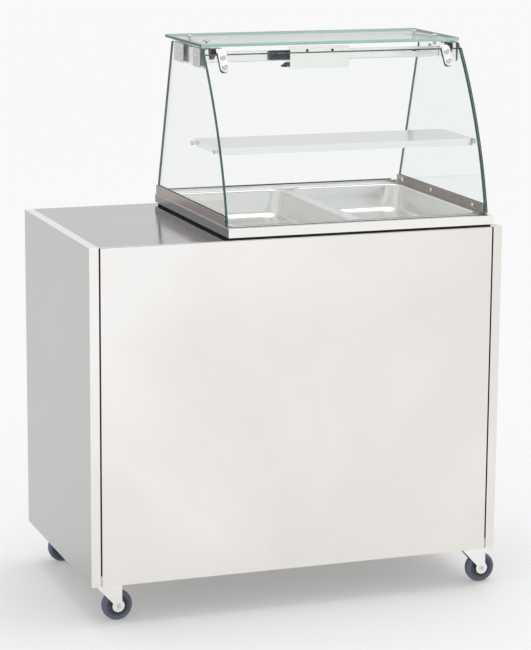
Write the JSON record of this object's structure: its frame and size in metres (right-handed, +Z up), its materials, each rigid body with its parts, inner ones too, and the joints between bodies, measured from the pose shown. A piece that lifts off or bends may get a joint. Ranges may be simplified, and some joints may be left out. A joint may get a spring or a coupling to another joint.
{
  "type": "food service trolley",
  "caption": "Heated serving trolley: stainless cabinet on swivel casters, plate landing, pans in a heated well, bowed glass display with shelf and lamp, sliding rear doors.",
  "frame": {"origin": "on the floor, at the centre of the box round the whole trolley", "axes": "+Z up, -Y towards the customer (the bowed front glass and plain front panel), +Y towards the operator (doors and controls), +X towards the display end"},
  "size_m": [1.0714, 0.624, 1.363],
  "materials": {
    "brushed_stainless": "fine vertical brushed grain, satin",
    "polished_stainless": "near-mirror polish",
    "clear_glass": "clear toughened glass, green at the cut edges",
    "bright_zinc": "bright zinc plate",
    "grey_rubber": "matt grey rubber",
    "grey_nylon": "moulded nylon",
    "black_plastic": "fine moulded grain",
    "amber_lens": "translucent gloss lens",
    "frosted_diffuser": "frosted opal diffuser"
  },
  "bodies": {
    "cabinet": {"bottom_track": "brushed_stainless", "bulkhead": "brushed_stainless", "cable_gland": "black_plastic", "caster_plate_front_left": "bright_zinc", "caster_plate_front_right": "bright_zinc", "caster_plate_rear_left": "bright_zinc", "caster_plate_rear_right": "bright_zinc", "chassis_tray": "brushed_stainless", "control_panel": "brushed_stainless", "cupboard_floor": "brushed_stainless", "cupboard_shelf": "brushed_stainless", "display_base": "brushed_stainless", "display_plinth": "black_plastic", "display_shelf": "brushed_stainless", "front_panel": "brushed_stainless", "glass_rail_left": "brushed_stainless", "glass_rail_right": "brushed_stainless", "heating_element": "bright_zinc", "indicator_lamp": "amber_lens", "lamp_diffuser": "frosted_diffuser", "left_liner": "brushed_stainless", "left_side_panel": "brushed_stainless", "light_bar": "brushed_stainless", "light_box": "brushed_stainless", "right_liner": "brushed_stainless", "right_side_panel": "brushed_stainless", "side_glass_left": "clear_glass", "side_glass_right": "clear_glass", "top_bracket_left": "brushed_stainless", "top_bracket_right": "brushed_stainless", "top_glass": "clear_glass", "top_track": "brushed_stainless", "well_tank": "brushed_stainless", "worktop": "polished_stainless"},
    "door_left": {"door_left": "brushed_stainless", "pull_left": "brushed_stainless"},
    "door_right": {"door_right": "brushed_stainless", "pull_right": "brushed_stainless"},
    "pan_left": {"pan_left": "brushed_stainless"},
    "pan_right": {"pan_right": "brushed_stainless"},
    "front_glass": {"front_glass": "clear_glass", "front_clamp_left": "bright_zinc", "front_clamp_right": "bright_zinc"},
    "knob_well": {"knob_well": "black_plastic"},
    "knob_cupboard": {"knob_cupboard": "black_plastic"},
    "rocker": {"rocker_switch": "black_plastic"},
    "fork_front_left": {"fork_front_left": "bright_zinc"},
    "wheel_front_left": {"tyre_front_left": "grey_rubber", "hub_front_left": "grey_nylon"},
    "fork_front_right": {"fork_front_right": "bright_zinc"},
    "wheel_front_right": {"tyre_front_right": "grey_rubber", "hub_front_right": "grey_nylon"},
    "fork_rear_left": {"fork_rear_left": "bright_zinc"},
    "wheel_rear_left": {"tyre_rear_left": "grey_rubber", "hub_rear_left": "grey_nylon"},
    "fork_rear_right": {"fork_rear_right": "bright_zinc"},
    "wheel_rear_right": {"tyre_rear_right": "grey_rubber", "hub_rear_right": "grey_nylon"},
    "pedal_rear_left": {"brake_pedal_left": "bright_zinc"},
    "pedal_rear_right": {"brake_pedal_right": "bright_zinc"}
  },
  "joints": [
    {"name": "swivel_front_left", "type": "hinge", "parent": "cabinet", "child": "fork_front_left", "pos_m": [-0.48975, -0.262, 0.09], "axis": [0, 0, 1], "continuous": true},
    {"name": "wheel_spin_front_left", "type": "hinge", "parent": "fork_front_left", "child": "wheel_front_left", "pos_m": [-0.45975, -0.262, 0.0375], "axis": [0, 1, 0], "continuous": true},
    {"name": "swivel_front_right", "type": "hinge", "parent": "cabinet", "child": "fork_front_right", "pos_m": [0.46825, -0.262, 0.09], "axis": [0, 0, 1], "continuous": true},
    {"name": "wheel_spin_front_right", "type": "hinge", "parent": "fork_front_right", "child": "wheel_front_right", "pos_m": [0.49825, -0.262, 0.0375], "axis": [0, 1, 0], "continuous": true},
    {"name": "swivel_rear_left", "type": "hinge", "parent": "cabinet", "child": "fork_rear_left", "pos_m": [-0.48975, 0.238, 0.09], "axis": [0, 0, 1], "continuous": true},
    {"name": "wheel_spin_rear_left", "type": "hinge", "parent": "fork_rear_left", "child": "wheel_rear_left", "pos_m": [-0.45975, 0.238, 0.0375], "axis": [0, 1, 0], "continuous": true},
    {"name": "swivel_rear_right", "type": "hinge", "parent": "cabinet", "child": "fork_rear_right", "pos_m": [0.46825, 0.238, 0.09], "axis": [0, 0, 1], "continuous": true},
    {"name": "wheel_spin_rear_right", "type": "hinge", "parent": "fork_rear_right", "child": "wheel_rear_right", "pos_m": [0.49825, 0.238, 0.0375], "axis": [0, 1, 0], "continuous": true},
    {"name": "brake_pedal_left", "type": "hinge", "parent": "fork_rear_left", "child": "pedal_rear_left", "pos_m": [-0.44675, 0.238, 0.0845], "axis": [0, 1, 0], "range_deg": [0, 12]},
    {"name": "brake_pedal_right", "type": "hinge", "parent": "fork_rear_right", "child": "pedal_rear_right", "pos_m": [0.51125, 0.238, 0.0845], "axis": [0, 1, 0], "range_deg": [0, 12]},
    {"name": "front_glass_lift", "type": "hinge", "parent": "cabinet", "child": "front_glass", "pos_m": [0.14825, -0.09785, 1.34191], "axis": [-1, 0, 0], "range_deg": [0, 75]},
    {"name": "door_left_slide", "type": "slide", "parent": "cabinet", "child": "door_left", "axis": [1, 0, 0], "range_m": [0, 0.45]},
    {"name": "door_right_slide", "type": "slide", "parent": "cabinet", "child": "door_right", "axis": [-1, 0, 0], "range_m": [0, 0.45]},
    {"name": "pan_left_tilt", "type": "hinge", "parent": "cabinet", "child": "pan_left", "pos_m": [-0.01865, -0.277, 0.9478], "axis": [1, 0, 0], "range_deg": [0, 20]},
    {"name": "pan_right_tilt", "type": "hinge", "parent": "cabinet", "child": "pan_right", "pos_m": [0.31515, -0.277, 0.9478], "axis": [1, 0, 0], "range_deg": [0, 20]},
    {"name": "knob_well_turn", "type": "hinge", "parent": "cabinet", "child": "knob_well", "pos_m": [-0.17075, 0.288, 0.832], "axis": [0, -1, 0], "range_deg": [0, 270]},
    {"name": "knob_cupboard_turn", "type": "hinge", "parent": "cabinet", "child": "knob_cupboard", "pos_m": [0.14925, 0.288, 0.832], "axis": [0, -1, 0], "range_deg": [0, 270]},
    {"name": "rocker_tip", "type": "hinge", "parent": "cabinet", "child": "rocker", "pos_m": [-0.05075, 0.288, 0.832], "axis": [1, 0, 0], "range_deg": [-8, 8]}
  ]
}
